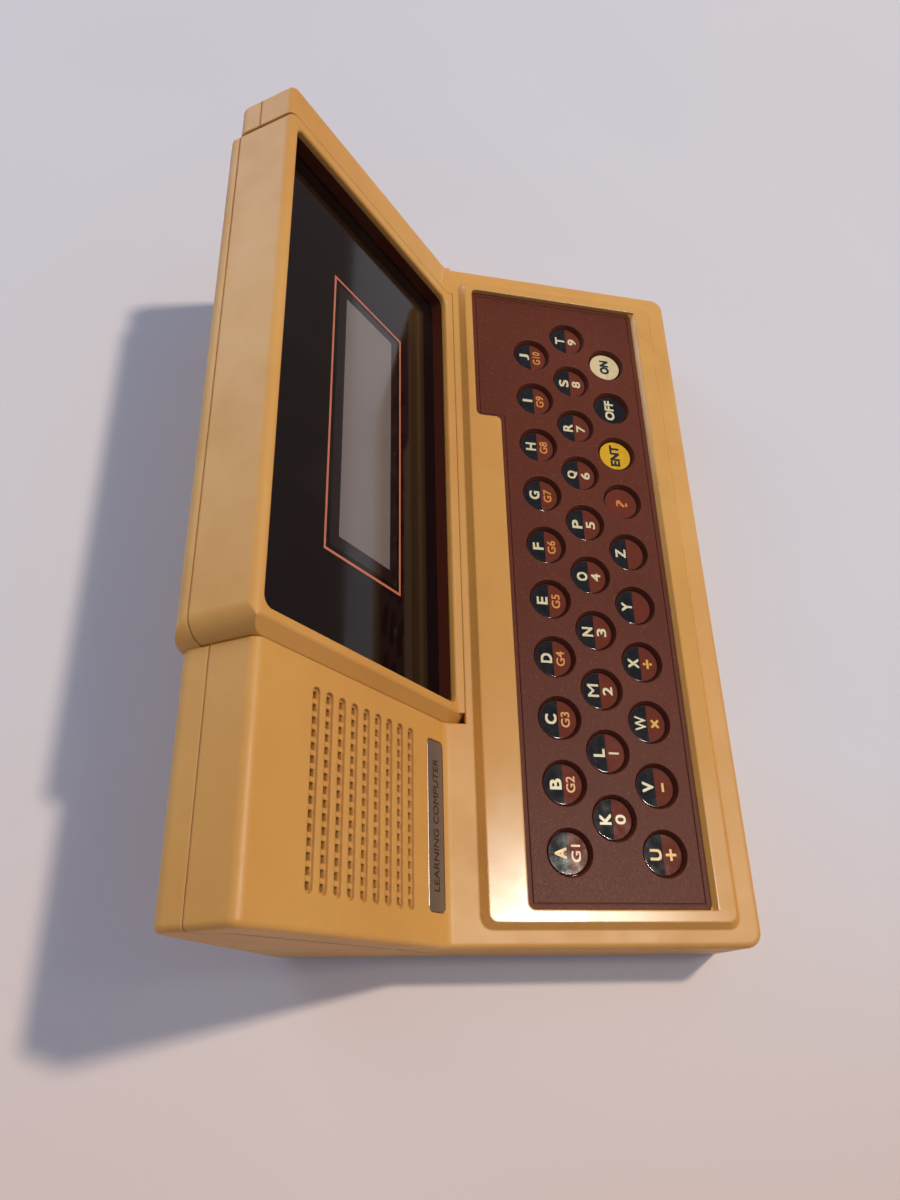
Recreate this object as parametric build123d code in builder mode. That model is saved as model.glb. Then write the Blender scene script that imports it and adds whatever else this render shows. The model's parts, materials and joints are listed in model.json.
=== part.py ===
from build123d import *
import os
from math import sin, cos, radians

os.makedirs("parts", exist_ok=True)

# ---------------------------------------------------------------------------
# Desk-top learning computer in a fixed two-plane case: a flat keyboard deck in
# front, a display and speaker section behind it at 46 degrees.
# Row frame: +X to the right, +Y to the back, +Z up, origin on the table under
# the middle of the object.  Most features are drawn from key A's centre.
# ---------------------------------------------------------------------------

# key field
PITCH = 19.05            # key pitch along a row
ROW_2 = -13.9            # second row, half a pitch to the right
ROW_3 = -27.9            # third row, in line with the first
HOLE_R = 6.05            # key hole in the brown panel
HOLE_FLARE = 0.65        # flare at its mouth
KEY_R = 5.95             # key cap
KEY_SUNK = 1.5           # cap top under the panel's face
TRAVEL = 1.0             # key travel

# case, measured from key A's centre in the panel's top face
PANEL_Z = 24.7           # panel face above the table
FOOT = 1.2               # rubber foot height
X_LEFT, X_RIGHT = -24.5, 207.0
Y_FRONT = -54.5
Z_RIM = -0.5             # deck rim
Z_BED = 1.5              # raised bed round the keyboard
Z_BASE = -23.5           # underside of the case
Z_SPLIT = -12.6          # parting line of the deck's side walls
WALL = 2.2
SLOPE = 46.0             # display face against the deck
Y_BEND = 29.8            # display face meets the deck here
FACE_LEN = 84.0          # display face, bend to top edge
STEP = 3.1               # speaker face lies this far under the display face
TOP_ANGLE = -37.5        # top face, down to the back
RIDGE = 79.5             # speaker face length, from its own datum
X_HOOD_L, X_HOOD_FOOT, X_HOOD_R = 38.3, 35.2, 195.05
X_END = 195.15           # end section starts beyond a fine groove
SEAM_LEFT, SEAM_HOOD, SEAM_END = 15.7, 17.9, 11.1    # parting depth under the display face
SEAM_GAP = 0.3
SKIRT = 11.6             # the left skirt ends this far under the display face
REVEAL = 0.8             # groove under it
REAR_FOOT_Y = 76.3
REAR_TAN = 29.7 / 69.7   # lean of the rear wall

# display opening
OPEN_L, OPEN_R, OPEN_T = 40.9, 191.5, 81.0
WINDOW_DEPTH = 6.0
WINDOW_T = 2.0
LCD_L, LCD_R, LCD_B, LCD_T = 71.0, 155.5, 25.5, 49.5

# speaker
SPK_X, SPK_S, SPK_R = 6.4, 39.4, 25.0
GRILLE_ROWS, GRILLE_HOLES = 9, 15
GRILLE_PITCH, GRILLE_HOLE_PITCH = 4.85, 3.02

A = (-91.25, -25.2575, PANEL_Z)      # key A's centre in the row frame
K = Plane(origin=A, x_dir=(1, 0, 0), z_dir=(0, 0, 1))            # deck plane: (x, y)
S = Plane(origin=A, x_dir=(0, 1, 0), z_dir=(1, 0, 0))            # side plane: (y, z), normal +X
c, s = cos(radians(SLOPE)), sin(radians(SLOPE))
D = Plane(                                                       # display plane: (x, distance up the slope)
    origin=(A[0], A[1] + Y_BEND, A[2] + Z_RIM), x_dir=(1, 0, 0), z_dir=(0, -s, c)
)
tc, ts = cos(radians(TOP_ANGLE)), sin(radians(TOP_ANGLE))


def up(dist, depth=0.0):
    """(y, z) of the point that lies dist up the display face and depth under it."""
    return (Y_BEND + dist * c + depth * s, Z_RIM + dist * s - depth * c)


def rear_y(z, inset=0.0):
    """y of the rear wall's outside at height z."""
    return REAR_FOOT_Y - inset + (z - Z_BASE) * REAR_TAN


def over_top(start, inset=0.0):
    """Where the top face that starts at (y, z) meets the rear wall."""
    y, z = start
    t = (rear_y(z, inset) - y) / (tc - ts * REAR_TAN)
    return (y + t * tc, z + t * ts)


def seam_foot(depth):
    """Where the parting line at that depth comes down to the deck's split height."""
    y, z = up(0, depth)
    return (y - (z - Z_SPLIT) * c / s, Z_SPLIT)


hood_top = up(FACE_LEN)
left_foot = (Y_BEND + STEP / s, Z_RIM)
left_top = up(RIDGE, STEP)
left_back = over_top(left_top)
hood_back = over_top(hood_top)


def finish(part, name, colour=None):
    part.label = name
    export_step(part, "parts/" + name + ".step")


# screw positions, deck coordinates (x, y)
BASE_SCREWS = [(-17.6, -48.3), (90.5, -48.3), (198.6, -48.3), (-14.5, 19.6), (60.0, 19.6), (128.0, 19.6)]
HOOD_SCREWS = [(41.2, 72.0), (188.6, 72.0)]      # (x, up the slope)
LEFT_SCREW = (-15.0, 69.0)
END_SCREW = (201.0, 66.0)

# ---------------------------------------------------------------------------
# 1. Envelopes that the shells are cut from
# ---------------------------------------------------------------------------
with BuildPart() as low_outer:      # deck and speaker section, full width
    with BuildSketch(S.offset(X_LEFT)):
        with BuildLine():
            Polyline(
                (Y_FRONT, Z_BASE), (Y_FRONT + 0.2, Z_RIM), left_foot, left_top, left_back,
                (REAR_FOOT_Y, Z_BASE), close=True,
            )
        make_face()
    extrude(amount=X_RIGHT - X_LEFT)
    xe = low_outer.edges().filter_by(Axis.X)
    fillet([e for e in xe if (e.center() - Vector(A[0] + (X_LEFT + X_RIGHT) / 2, A[1] + left_top[0], A[2] + left_top[1])).length < 0.5], 2.6)
    xe = low_outer.edges().filter_by(Axis.X)
    fillet([e for e in xe if (e.center() - Vector(A[0] + (X_LEFT + X_RIGHT) / 2, A[1] + left_back[0], A[2] + left_back[1])).length < 0.5], 4.5)
    xe = low_outer.edges().filter_by(Axis.X)
    fillet([e for e in xe if (e.center() - Vector(A[0] + (X_LEFT + X_RIGHT) / 2, A[1] + left_foot[0], A[2] + left_foot[1])).length < 0.5], 3.0)
    xe = low_outer.edges().filter_by(Axis.X)
    fillet([e for e in xe if (e.center() - Vector(A[0] + (X_LEFT + X_RIGHT) / 2, A[1] + REAR_FOOT_Y, A[2] + Z_BASE)).length < 0.5], 2.5)
    upright = [e for e in low_outer.edges() if abs(e.center().Y - (A[1] + Y_FRONT + 0.1)) < 0.15
               and abs(e.center().Z - (A[2] + (Z_BASE + Z_RIM) / 2)) < 1]
    fillet(upright, 4.5)
    rim = [e for e in low_outer.edges()
           if (abs(e.center().X - (A[0] + X_LEFT)) < 3.2 or abs(e.center().X - (A[0] + X_RIGHT)) < 3.2
               or abs(e.center().Y - (A[1] + Y_FRONT + 0.2)) < 1.0)
           and e.center().Z > A[2] + Z_BASE + 1.5
           and not (e.center().Z < A[2] + Z_RIM - 1 and e.center().Y < A[1])
           and not (e.center().Y > A[1] + rear_y(e.center().Z - A[2]) - 0.4 and e.center().Z < A[2] + 36)]
    fillet(rim, 1.6)

# hood: a moulding that wraps the display face and its top
P_along = Plane(origin=D.origin, x_dir=(1, 0, 0), z_dir=(0, c, s))           # along the slope, y runs into the case
P_top = Plane(origin=(A[0], A[1] + hood_top[0], A[2] + hood_top[1]), x_dir=(1, 0, 0), z_dir=(0, tc, ts))
Y_LIP = Y_BEND - 1.8
with BuildPart() as hood_outer:
    with BuildSketch(S.offset(X_HOOD_FOOT)):
        with BuildLine():
            Polyline(
                (Y_LIP, Z_RIM), (Y_BEND, Z_RIM), hood_top, hood_back, (REAR_FOOT_Y, Z_BASE),
                (Y_LIP, Z_BASE), close=True,
            )
        make_face()
    extrude(amount=X_HOOD_R - X_HOOD_FOOT)
    top_edge = [e for e in hood_outer.edges() if e.length > 100
                and (Vector(0, e.center().Y, e.center().Z) - Vector(0, A[1] + hood_top[0], A[2] + hood_top[1])).length < 0.5]
    fillet(top_edge, 2.6)
    back_edge = [e for e in hood_outer.edges() if e.length > 100
                 and (Vector(0, e.center().Y, e.center().Z) - Vector(0, A[1] + hood_back[0], A[2] + hood_back[1])).length < 0.5]
    fillet(back_edge, 4.5)
    with BuildSketch(P_along.offset(-20)):
        with BuildLine():
            Polyline((X_HOOD_FOOT, STEP), (X_HOOD_L, 0), (X_HOOD_L, -9), (25, -9), (25, STEP), close=True)
        make_face()
    extrude(amount=140, mode=Mode.SUBTRACT)
    with BuildSketch(P_top.offset(-20)):        # rounded ends of the top
        with BuildLine():
            ThreePointArc((X_HOOD_FOOT, 6.0), (X_HOOD_FOOT + 1.757, 1.757), (X_HOOD_FOOT + 6.0, 0))
            Polyline((X_HOOD_FOOT + 6.0, 0), (X_HOOD_FOOT + 6.0, -9), (25, -9), (25, 6.0), (X_HOOD_FOOT, 6.0))
        make_face()
        with BuildLine():
            ThreePointArc((X_HOOD_R, 1.0), (X_HOOD_R - 0.293, 0.293), (X_HOOD_R - 1.0, 0))
            Polyline((X_HOOD_R - 1.0, 0), (X_HOOD_R - 1.0, -9), (205, -9), (205, 1.0), (X_HOOD_R, 1.0))
        make_face()
    extrude(amount=90, mode=Mode.SUBTRACT)
    cheek = [e for e in hood_outer.edges() if e.length > 40 and abs(e.center().X - (A[0] + X_HOOD_L)) < 0.2]
    fillet(cheek, 1.2)

# right end section, flush with the display face, a little lower and shorter than the hood
end_top = up(84.2)
end_back = (end_top[0] + 18.5 * tc, end_top[1] + 18.5 * ts)
with BuildPart() as end_outer:
    with BuildSketch(S.offset(X_END)):
        with BuildLine():
            Polyline((Y_BEND - 1.2, Z_RIM), (Y_BEND, Z_RIM), end_top, end_back, (rear_y(8), 8), (REAR_FOOT_Y, Z_BASE),
                     (Y_BEND - 1.2, Z_BASE), close=True)
        make_face()
    extrude(amount=X_RIGHT - X_END)
    crest = [e for e in end_outer.edges().filter_by(Axis.X)
             if (Vector(0, e.center().Y, e.center().Z) - Vector(0, A[1] + end_top[0], A[2] + end_top[1])).length < 0.5]
    fillet(crest, 2.2)
    crest = [e for e in end_outer.edges().filter_by(Axis.X)
             if (Vector(0, e.center().Y, e.center().Z) - Vector(0, A[1] + end_back[0], A[2] + end_back[1])).length < 0.5]
    fillet(crest, 3.5)
    side = [e for e in end_outer.edges() if e.center().X > A[0] + X_RIGHT - 0.01 and e.center().Z > A[2] + 0.5
            and e.center().Y < A[1] + rear_y(e.center().Z - A[2]) - 3]
    fillet(side, 1.6)


def band(plane_x0, x1, depth, above):
    """Sketch points of the region above or below the parting line at that depth under the display face."""
    if above:
        return [(Y_FRONT - 12, Z_SPLIT), seam_foot(depth), up(150, depth), (Y_FRONT - 12, 170)]
    return [(Y_FRONT - 12, Z_SPLIT), seam_foot(depth), up(150, depth), (260, -60), (Y_FRONT - 12, -60)]


low_points = [
    (Y_FRONT + WALL, Z_BASE + WALL), (Y_FRONT + WALL + 0.2, Z_RIM - WALL),
    (left_foot[0] + 0.9, Z_RIM - WALL), up(RIDGE - WALL - 1.0, STEP + WALL),
    over_top((left_top[0] + WALL * ts * 0 - 0.6, left_top[1] - 2.8), WALL), (REAR_FOOT_Y - WALL - 0.9, Z_BASE + WALL),
]
with BuildPart() as low_cavity:
    with BuildSketch(S.offset(X_LEFT + WALL)):
        with BuildLine():
            Polyline(*low_points, close=True)
        make_face()
    extrude(amount=X_RIGHT - X_LEFT - 2 * WALL)

with BuildPart() as hood_cavity:
    with BuildSketch(S.offset(X_HOOD_FOOT + WALL)):
        with BuildLine():
            Polyline(up(1.0, WALL), up(FACE_LEN - WALL + 0.15, WALL), over_top((hood_top[0] - 0.7, hood_top[1] - 2.9), WALL),
                     (REAR_FOOT_Y - WALL - 0.9, Z_BASE + WALL), (Y_BEND + 2.0, Z_BASE + WALL), close=True)
        make_face()
    extrude(amount=X_HOOD_R - X_HOOD_FOOT - 2 * WALL)
    with BuildSketch(P_along.offset(-20)):
        with BuildLine():
            Polyline((X_HOOD_FOOT + WALL, STEP + 2.6), (X_HOOD_L + 2.4, 0.5), (X_HOOD_L + 2.4, -9), (25, -9),
                     (25, STEP + 2.6), close=True)
        make_face()
    extrude(amount=140, mode=Mode.SUBTRACT)

with BuildPart() as end_cavity:
    with BuildSketch(S.offset(X_END + 1.6)):
        with BuildLine():
            Polyline(up(1.0, WALL), up(81.0, WALL), (end_back[0] - 3.2, end_back[1] - 2.2), (rear_y(6) - 2.6, 6),
                     (REAR_FOOT_Y - WALL - 0.9, Z_BASE + WALL), (Y_BEND + 2.0, Z_BASE + WALL), close=True)
        make_face()
    extrude(amount=X_RIGHT - WALL - X_END - 1.6)


# raised bed, recess and key field outlines, deck coordinates
PANEL = [(-15.0, -39.8), (196.7, -39.8), (196.7, 21.3), (141.8, 21.3), (141.8, 13.0), (-15.0, 13.0)]
KEY_NAMES = [
    ["a", "b", "c", "d", "e", "f", "g", "h", "i", "j"],
    ["k", "l", "m", "n", "o", "p", "q", "r", "s", "t"],
    ["u", "v", "w", "x", "y", "z", "question", "enter", "off", "on"],
]
KEYS = []
for row, (y, shift) in enumerate(((0.0, 0.0), (ROW_2, PITCH / 2), (ROW_3, 0.0))):
    for i in range(10):
        KEYS.append((KEY_NAMES[row][i], i * PITCH + shift, y))
KEY_SPOTS = [(x, y) for _, x, y in KEYS]
FLARED = Plane.XY

# ---------------------------------------------------------------------------
# 2. Front shell: deck, bed, speaker slope and right end section
# ---------------------------------------------------------------------------
with BuildPart() as front_shell:
    add(low_outer.part)
    add(end_outer.part)
    # the raised bed, with sloping walls
    with BuildSketch(K.offset(Z_RIM - 1.0)):
        with Locations((90.75, -11.0)):
            RectangleRounded(221.9 + 1.0, 74.4 + 1.0, 4.0)
    with BuildSketch(K.offset(Z_BED)):
        with Locations((90.75, -11.25)):
            RectangleRounded(217.7, 69.9, 2.4)
    loft()
    # hollow inside
    add(low_cavity.part, mode=Mode.SUBTRACT)
    add(end_cavity.part, mode=Mode.SUBTRACT)
    # ledge under the keyboard opening
    with BuildSketch(K.offset(-4.6)):
        with Locations((90.85, -9.25)):
            RectangleRounded(211.7 + 5.0, 61.1 + 5.0, 2.0)
    extrude(amount=2.4)
    # boss pillars that take the base screws
    with BuildSketch(K.offset(Z_SPLIT + 2.4)):
        with Locations(*BASE_SCREWS):
            Circle(3.4)
    extrude(amount=-(Z_SPLIT + 2.4) - 2.4)
    # room for the hood moulding
    with BuildSketch(S.offset(X_HOOD_FOOT - 0.08)):
        with BuildLine():
            Polyline((Y_LIP - 0.08, 10), (Y_LIP - 0.08, -14), (Y_LIP + 4, Z_BASE - 3), (130, Z_BASE - 3), (130, 90), (Y_LIP - 0.08, 90), close=True)
        make_face()
    extrude(amount=X_END - X_HOOD_FOOT + 0.08, mode=Mode.SUBTRACT)
    # everything under the parting line belongs to the rear shell
    with BuildSketch(S.offset(X_LEFT - 5)):
        with BuildLine():
            Polyline((Y_FRONT - 12, Z_SPLIT), seam_foot(SKIRT), up(71.0, SKIRT), up(73.5, SEAM_LEFT), up(150, SEAM_LEFT),
                     (260, -60), (Y_FRONT - 12, -60), close=True)
        make_face()
    extrude(amount=X_HOOD_FOOT - X_LEFT + 5, mode=Mode.SUBTRACT)
    with BuildSketch(S.offset(X_HOOD_FOOT)):
        with BuildLine():
            Polyline(*band(0, 0, SEAM_END, False), close=True)
        make_face()
    extrude(amount=X_RIGHT - X_HOOD_FOOT + 5, mode=Mode.SUBTRACT)
    # pocket for the keyboard panel and the opening under it
    with BuildSketch(K.offset(6)):
        with BuildLine():
            Polyline(*PANEL, close=True)
        make_face()
        fillet(vertices(), 1.8)
    extrude(amount=-8.4, mode=Mode.SUBTRACT)
    with BuildSketch(K.offset(6)):
        with BuildLine():
            Polyline(*PANEL, close=True)
        make_face()
        offset(amount=-2.2)
    extrude(amount=-12, mode=Mode.SUBTRACT)
    # the recess's front wall slopes
    with BuildSketch(S.offset(-15.0)):
        with BuildLine():
            Polyline((-39.9, 0.2), (-41.1, 1.6), (-39, 1.6), (-39, 0.2), close=True)
        make_face()
    extrude(amount=211.7, mode=Mode.SUBTRACT)
    # speaker grille: nine sunk grooves, each with a row of square holes
    with BuildSketch(D.offset(-STEP)):
        with Locations((SPK_X, SPK_S)):
            with GridLocations(1, GRILLE_PITCH, 1, GRILLE_ROWS):
                SlotOverall(45.6, 2.7)
    extrude(amount=-0.9, mode=Mode.SUBTRACT)
    with BuildSketch(D.offset(-STEP)):
        with Locations((SPK_X, SPK_S)):
            with GridLocations(GRILLE_HOLE_PITCH, GRILLE_PITCH, GRILLE_HOLES, GRILLE_ROWS):
                Rectangle(1.75, 2.2)
    extrude(amount=-3.5, mode=Mode.SUBTRACT)
    # nameplate seat
    with BuildSketch(D.offset(-STEP)):
        with Locations((SPK_X, 8.1)):
            RectangleRounded(44.9, 8.0, 1.6)
    extrude(amount=-0.7, mode=Mode.SUBTRACT)
    # posts under the speaker face and in the end section
    with BuildSketch(D.offset(-STEP - 1.5)):
        with Locations(LEFT_SCREW):
            Circle(3.2)
    extrude(amount=-10.3)
    with BuildSketch(D.offset(-1.5)):
        with Locations(END_SCREW):
            Circle(2.5)
    extrude(amount=-9.2)
    with BuildSketch(D.offset(-STEP - 12)):
        with Locations(LEFT_SCREW):
            Circle(1.25)
    extrude(amount=9, mode=Mode.SUBTRACT)
    with BuildSketch(D.offset(-11)):
        with Locations(END_SCREW):
            Circle(1.25)
    extrude(amount=8, mode=Mode.SUBTRACT)
    # screw holes
    with BuildSketch(K.offset(Z_SPLIT + 1)):
        with Locations(*BASE_SCREWS):
            Circle(1.25)
    extrude(amount=8, mode=Mode.SUBTRACT)

# ---------------------------------------------------------------------------
# 3. Display hood
# ---------------------------------------------------------------------------
with BuildPart() as display_hood:
    add(hood_outer.part)
    add(hood_cavity.part, mode=Mode.SUBTRACT)
    # only the part over its own parting line stays, and the skirts end inside the case
    with BuildSketch(S.offset(X_HOOD_FOOT - 5)):
        with BuildLine():
            Polyline((Y_LIP - 8, -6.0), up(2.0, 9.5), up(56.0, 9.5), up(66.0, SEAM_HOOD), up(150, SEAM_HOOD), (260, -60),
                     (Y_LIP - 8, -60), close=True)
        make_face()
    extrude(amount=X_HOOD_R - X_HOOD_FOOT + 10, mode=Mode.SUBTRACT)
    # display opening
    with BuildSketch(D.offset(4)):
        with Locations(((OPEN_L + OPEN_R) / 2, OPEN_T / 2 + 0.3)):
            RectangleRounded(OPEN_R - OPEN_L, OPEN_T - 0.6, 2.6)
    extrude(amount=-11.5, mode=Mode.SUBTRACT)
    mouth = [e for e in display_hood.edges()
             if abs(D.to_local_coords(e.center()).Z) < 0.01 and OPEN_L - 0.1 < D.to_local_coords(e.center()).X < OPEN_R + 0.1
             and 0.2 < D.to_local_coords(e.center()).Y < OPEN_T]
    fillet(mouth, 0.9)
    # seat for the screen window behind the bezel
    with BuildSketch(D.offset(-WALL)):
        with Locations(((OPEN_L + OPEN_R) / 2, 40.5)):
            RectangleRounded(152.8, 82.6, 3.0)
    extrude(amount=-8, mode=Mode.SUBTRACT)
    # lugs for the screws from the back
    with BuildSketch(D.offset(-10.0)):
        with Locations((HOOD_SCREWS[0][0] - 1.0, HOOD_SCREWS[0][1]), (HOOD_SCREWS[1][0] + 1.0, HOOD_SCREWS[1][1])):
            Rectangle(8.2, 9.0)
    extrude(amount=-7.6)
    with BuildSketch(D.offset(-20.0)):
        with Locations(*HOOD_SCREWS):
            Circle(1.25)
    extrude(amount=9, mode=Mode.SUBTRACT)

# ---------------------------------------------------------------------------
# 4. Rear shell: base, leaning back wall, lower side walls, battery compartment
# ---------------------------------------------------------------------------
DOOR_L, DOOR_R, DOOR_F = 42.0, 150.0, 42.1
with BuildPart() as envelope:
    add(low_outer.part)
    add(hood_outer.part)
    add(end_outer.part)

with BuildPart() as rear_shell:
    add(envelope.part)
    add(low_cavity.part, mode=Mode.SUBTRACT)
    add(hood_cavity.part, mode=Mode.SUBTRACT)
    add(end_cavity.part, mode=Mode.SUBTRACT)
    # everything over the parting line belongs to the other two shells
    for x0, x1, depth in ((X_LEFT - 5, X_HOOD_FOOT - 0.15, SEAM_LEFT), (X_HOOD_FOOT - 0.15, X_HOOD_R + 0.15, SEAM_HOOD),
                          (X_HOOD_R + 0.15, X_RIGHT + 5, SEAM_END)):
        with BuildSketch(S.offset(x0)):
            with BuildLine():
                if depth == SEAM_LEFT:
                    y0, z0 = seam_foot(SKIRT + REVEAL)
                    Polyline((Y_FRONT - 12, Z_SPLIT - 0.5), (y0 - 0.5, Z_SPLIT - 0.5), up(70.5, SKIRT + REVEAL),
                             up(73.8, depth + SEAM_GAP), up(150, depth + SEAM_GAP), (Y_FRONT - 12, 170), close=True)
                else:
                    y0, z0 = seam_foot(depth + SEAM_GAP)
                    Polyline((Y_FRONT - 12, Z_SPLIT - 0.5), (y0 - SEAM_GAP, Z_SPLIT - 0.5), up(150, depth + SEAM_GAP),
                             (Y_FRONT - 12, 170), close=True)
            make_face()
        extrude(amount=x1 - x0, mode=Mode.SUBTRACT)
    # posts for the screws from the back
    with BuildSketch(D.offset(-15.6)):
        with Locations(LEFT_SCREW):
            Circle(3.2)
    extrude(amount=-24)
    with BuildSketch(D.offset(-18.2)):
        with Locations(*HOOD_SCREWS):
            Circle(3.2)
    extrude(amount=-22)
    with BuildSketch(D.offset(-11.2)):
        with Locations(END_SCREW):
            Circle(2.5)
    extrude(amount=-30)
    # bosses for the base screws
    with BuildSketch(K.offset(Z_BASE + 1)):
        with Locations(*BASE_SCREWS):
            Circle(3.4)
    extrude(amount=Z_SPLIT + 2.2 - Z_BASE - 1)
    # battery compartment
    with BuildSketch(K.offset(Z_BASE + 1)):
        with BuildLine():
            Polyline((38.7, 40.0), (153.3, 40.0), (153.3, 74.6), (38.7, 74.6), close=True)
        make_face()
    extrude(amount=19.5)
    with BuildSketch(K.offset(Z_BASE - 1)):
        with Locations(((40.2 + 151.8) / 2, (41.5 + 72.6) / 2)):
            Rectangle(111.6, 31.1)
    extrude(amount=20, mode=Mode.SUBTRACT)
    with BuildSketch(K.offset(-19.8)):      # rails over the door's wings
        with Locations((41.1, 57.05), (150.9, 57.05)):
            Rectangle(1.8, 31.1)
    extrude(amount=1.2)
    with BuildSketch(K.offset(Z_BASE)):     # lips under the door's wings
        with Locations((40.95, 57.05), (151.05, 57.05)):
            Rectangle(1.5, 31.1)
    extrude(amount=2.2)
    add(envelope.part, mode=Mode.INTERSECT)
    # way out for the door
    with BuildSketch(K.offset(-19.8)):
        with Locations((96.0, 76.8)):
            Rectangle(111.6, 10.0)
    extrude(amount=-1.5, mode=Mode.SUBTRACT)
    with BuildSketch(K.offset(-19.8)):
        with Locations((96.0, 76.8)):
            Rectangle(108.6, 10.0)
    extrude(amount=-6, mode=Mode.SUBTRACT)
    # screw holes with counterbores
    with Locations(*[Location((A[0] + x, A[1] + y, A[2] + Z_BASE), (180, 0, 0)) for x, y in BASE_SCREWS]):
        CounterBoreHole(radius=1.6, counter_bore_radius=2.9, counter_bore_depth=1.5, depth=16)
    with BuildSketch(D.offset(-11)):
        with Locations(LEFT_SCREW, *HOOD_SCREWS, END_SCREW):
            Circle(1.6)
    extrude(amount=-45, mode=Mode.SUBTRACT)
    for (x, dist), deep in ((LEFT_SCREW, 25.0), (HOOD_SCREWS[0], 25.0), (HOOD_SCREWS[1], 25.0), (END_SCREW, 26.0)):
        with BuildSketch(D.offset(-deep)):
            with Locations((x, dist)):
                Circle(2.9 if x < 195 else 2.4)
        extrude(amount=-25, mode=Mode.SUBTRACT)
    # sockets of the rubber feet
    with BuildSketch(K.offset(Z_BASE - 1)):
        with Locations((-12.0, -38.0), (193.0, -38.0), (-8.0, 64.0), (189.0, 64.0)):
            Circle(1.55)
    extrude(amount=6, mode=Mode.SUBTRACT)

# ---------------------------------------------------------------------------
# 5. Battery door, cells and contacts
# ---------------------------------------------------------------------------
with BuildPart() as battery_door:
    with BuildSketch(K.offset(Z_BASE)):
        with Locations(((DOOR_L + DOOR_R) / 2, (DOOR_F + 82) / 2)):
            Rectangle(DOOR_R - DOOR_L, 82 - DOOR_F)
    extrude(amount=3.5)
    with BuildSketch(K.offset(-21.1)):
        with Locations(((DOOR_L + DOOR_R) / 2, (DOOR_F + 82) / 2)):
            Rectangle(111.2, 82 - DOOR_F)
    extrude(amount=1.1)
    add(low_outer.part, mode=Mode.INTERSECT)
    with BuildSketch(K.offset(-22.2)):      # hollow inside, so that the wall is even
        with Locations((96.0, 56.5)):
            RectangleRounded(104.0, 25.0, 1.0)
    extrude(amount=6, mode=Mode.SUBTRACT)
    with BuildSketch(K.offset(Z_BASE)):     # finger grooves
        with Locations((96.0, 67.0)):
            with GridLocations(1, 2.4, 1, 4):
                SlotOverall(22, 1.1)
    extrude(amount=0.7, mode=Mode.SUBTRACT)

with BuildPart() as aa_cells:
    cell = [(-25.2, 0), (-25.2, 5.2), (-24.9, 7.1), (23.6, 7.1), (23.6, 3.0), (24.0, 2.7), (25.0, 2.7), (25.0, 0)]
    for x0, y0, flip in ((70.3, 49.3, 1), (121.3, 49.3, 1), (70.3, 64.7, -1), (121.3, 64.7, -1)):
        with BuildSketch(Plane(origin=(A[0] + x0, A[1] + y0, A[2] - 12.0), x_dir=(flip, 0, 0), z_dir=(0, 0, 1))):
            with BuildLine():
                Polyline(*cell, close=True)
            make_face()
        revolve(axis=Axis((A[0], A[1] + y0, A[2] - 12.0), (1, 0, 0)))

with BuildPart() as battery_contacts:
    with BuildSketch(K.offset(-17.5)):
        with Locations((42.6, 49.3), (42.6, 64.7), (149.4, 49.3), (149.4, 64.7)):
            Rectangle(0.5, 10.0)
        for x0, sgn in ((42.6, 1), (149.4, -1)):
            for y0 in (49.3, 64.7):
                with BuildLine():
                    Polyline((x0, y0 - 2.4), (x0 + 1.6 * sgn, y0 - 0.4), (x0 + 1.6 * sgn, y0 + 0.4), (x0, y0 + 2.4),
                             (x0, y0 + 1.8), (x0 + 1.1 * sgn, y0 + 0.2), (x0 + 1.1 * sgn, y0 - 0.2), (x0, y0 - 1.8), close=True)
                make_face()
    extrude(amount=11)

# ---------------------------------------------------------------------------
# 6. Keyboard: panel, keys, rubber sheet, board and screws
# ---------------------------------------------------------------------------
KB_SCREWS = [(9.525 + 57.15 * k, y) for k in range(4) for y in (8.0, -34.9)]
with BuildPart(K) as keyboard_panel:
    with BuildSketch(K):
        with BuildLine():
            Polyline(*PANEL, close=True)
        make_face()
        fillet(vertices(), 1.8)
        offset(amount=-0.15)
    extrude(amount=-2.35)
    with BuildSketch(K):        # fine groove just inside the edge
        with BuildLine():
            Polyline(*PANEL, close=True)
        make_face()
        offset(amount=-1.5, kind=Kind.INTERSECTION)
        with BuildLine():
            Polyline(*PANEL, close=True)
        make_face(mode=Mode.PRIVATE)
    extrude(amount=-0.3, mode=Mode.SUBTRACT)
    with BuildSketch(K.offset(-0.3)):
        with BuildLine():
            Polyline(*PANEL, close=True)
        make_face()
        offset(amount=-1.9, kind=Kind.INTERSECTION)
    extrude(amount=0.3)
    with BuildSketch(K.offset(-2.2)):
        with Locations(*KB_SCREWS):
            Circle(2.4)
    extrude(amount=-6.3)
    with Locations(*[(x, y, -0.8) for x, y in KEY_SPOTS]):
        Cone(bottom_radius=HOLE_R, top_radius=HOLE_R + HOLE_FLARE, height=1.6, mode=Mode.SUBTRACT)
    with BuildSketch(K.offset(1)):
        with Locations(*KEY_SPOTS):
            Circle(HOLE_R)
    extrude(amount=-5, mode=Mode.SUBTRACT)
    with BuildSketch(K.offset(-9)):
        with Locations(*KB_SCREWS):
            Circle(1.15)
    extrude(amount=5.5, mode=Mode.SUBTRACT)

with BuildPart() as key_cap:
    with BuildSketch(Plane.XZ):
        with BuildLine():
            Polyline((0, -6.0), (2.6, -6.0), (2.6, -3.6), (7.0, -3.6), (7.0, -2.45), (KEY_R, -2.45), (KEY_R, -KEY_SUNK),
                     (0, -KEY_SUNK), close=True)
        make_face()
    revolve(axis=Axis.Z)
    rim_edge = key_cap.edges().filter_by(GeomType.CIRCLE).sort_by(Axis.Z)[-1]
    fillet(rim_edge, 0.4)

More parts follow.
